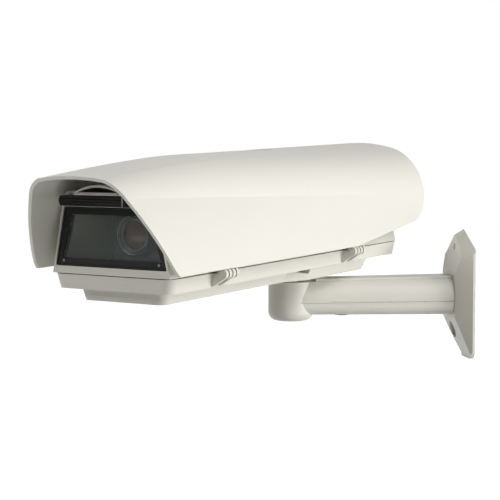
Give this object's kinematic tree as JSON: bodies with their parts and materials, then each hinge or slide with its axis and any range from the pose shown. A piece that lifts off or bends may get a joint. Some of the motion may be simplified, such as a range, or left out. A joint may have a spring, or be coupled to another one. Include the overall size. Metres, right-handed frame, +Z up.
{
  "type": "security camera housing",
  "caption": "Outdoor camera housing with sunshield, side-hinged cover, swivel head and wall bracket, with a camera on a slide inside.",
  "frame": {"origin": "centre of the two wall holes on the wall plate's back face", "axes": "+X into the wall, +Z up, +Y to the far side; the housing points away from the wall"},
  "size_m": [0.4583, 0.4385, 0.2242],
  "materials": {
    "bracket_paint": "satin",
    "housing_paint": "satin",
    "shield_plastic": "satin",
    "black_plastic": "matte",
    "nylon": "satin",
    "zinc_steel": "brushed",
    "bright_metal": "satin",
    "sheet_aluminium": "satin",
    "seal_rubber": "matte",
    "window_glass": "clear",
    "lens_glass": "coated",
    "camera_paint": "satin",
    "board": "gloss",
    "terminal_plastic": "matte"
  },
  "bodies": {
    "bracket": {"wall_bracket": "bracket_paint", "channel_cover": "bracket_paint", "channel_screws": "zinc_steel", "cable_grommet": "seal_rubber", "clamp_ring": "bracket_paint", "clamp_screws": "zinc_steel"},
    "swivel_seat": {"ball_seat": "nylon"},
    "housing": {"swivel_ball": "bracket_paint", "flange_screws": "zinc_steel", "lower_shell": "housing_paint", "body_seal": "seal_rubber", "front_hinge_pin": "zinc_steel", "rear_hinge_pin": "zinc_steel", "gland_bodies": "black_plastic", "gland_nuts": "black_plastic", "gland_seals": "seal_rubber", "terminal_board": "board", "terminal_blocks": "terminal_plastic", "board_screws": "zinc_steel", "front_heater": "sheet_aluminium"},
    "cover": {"upper_shell": "housing_paint", "window_seal": "seal_rubber", "window_glass": "window_glass", "window_frame": "sheet_aluminium", "frame_spacers": "sheet_aluminium", "frame_screws": "zinc_steel", "brow_bar": "black_plastic", "brow_end_block": "black_plastic", "brow_clip": "bright_metal", "brow_strip": "housing_paint", "vent_insert": "black_plastic", "sunshield": "shield_plastic", "shield_spacers": "black_plastic", "shield_screws": "zinc_steel", "closing_screws": "zinc_steel"},
    "camera": {"camera_slide": "sheet_aluminium", "slide_clamps": "black_plastic", "camera_foot": "sheet_aluminium", "camera_screw": "zinc_steel", "camera_body": "camera_paint", "lens_housing": "camera_paint"},
    "focus": {"focus_barrel": "black_plastic", "front_lens": "lens_glass"}
  },
  "joints": [
    {"name": "pan", "type": "hinge", "parent": "bracket", "child": "swivel_seat", "pos_m": [-0.186, 0, -0.003], "axis": [0, 0, 1], "range_deg": [-130, 40]},
    {"name": "tilt", "type": "hinge", "parent": "swivel_seat", "child": "housing", "pos_m": [-0.186, 0, -0.003], "axis": [-0.7242, 0.6896, 0], "range_deg": [-10, 3]},
    {"name": "cover_hinge", "type": "hinge", "parent": "housing", "child": "cover", "pos_m": [-0.20761, -0.13479, 0.04079], "axis": [0.6892, 0.7238, 0.0332], "range_deg": [0, 65]},
    {"name": "camera_slide", "type": "slide", "parent": "housing", "child": "camera", "axis": [0.6892, 0.7238, 0.0332], "range_m": [-0.012, 0.03]},
    {"name": "focus_turn", "type": "hinge", "parent": "camera", "child": "focus", "pos_m": [-0.36087, -0.18364, 0.07063], "axis": [0.6892, 0.7238, 0.0332], "range_deg": [0, 120]}
  ]
}
